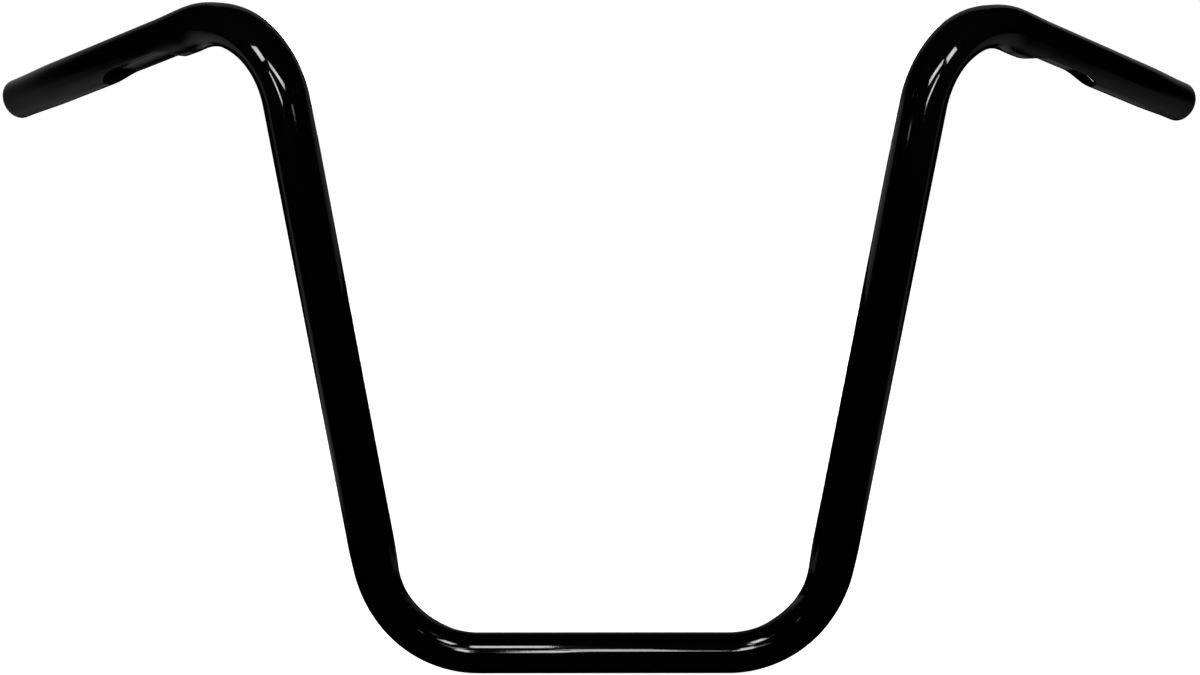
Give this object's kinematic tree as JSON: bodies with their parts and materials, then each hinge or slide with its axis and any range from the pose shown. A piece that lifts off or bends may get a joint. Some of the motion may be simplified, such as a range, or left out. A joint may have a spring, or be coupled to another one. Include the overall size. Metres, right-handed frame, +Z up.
{
  "type": "motorcycle handlebar",
  "caption": "Tall one-piece motorcycle handlebar: a bent, swaged steel tube with a straight clamp section, leaning risers and swept-back grips with pressed grooves.",
  "frame": {"origin": "middle of the clamp section's axis", "axes": "+X along the clamp section, +Z up between the risers, the grips sweep towards +Y, where the rider sits"},
  "size_m": [0.768, 0.1813, 0.4056],
  "materials": {
    "gloss_black": "smooth gloss black powder coat over steel tube"
  },
  "bodies": {
    "root": {"handlebar": "gloss_black"}
  },
  "joints": []
}
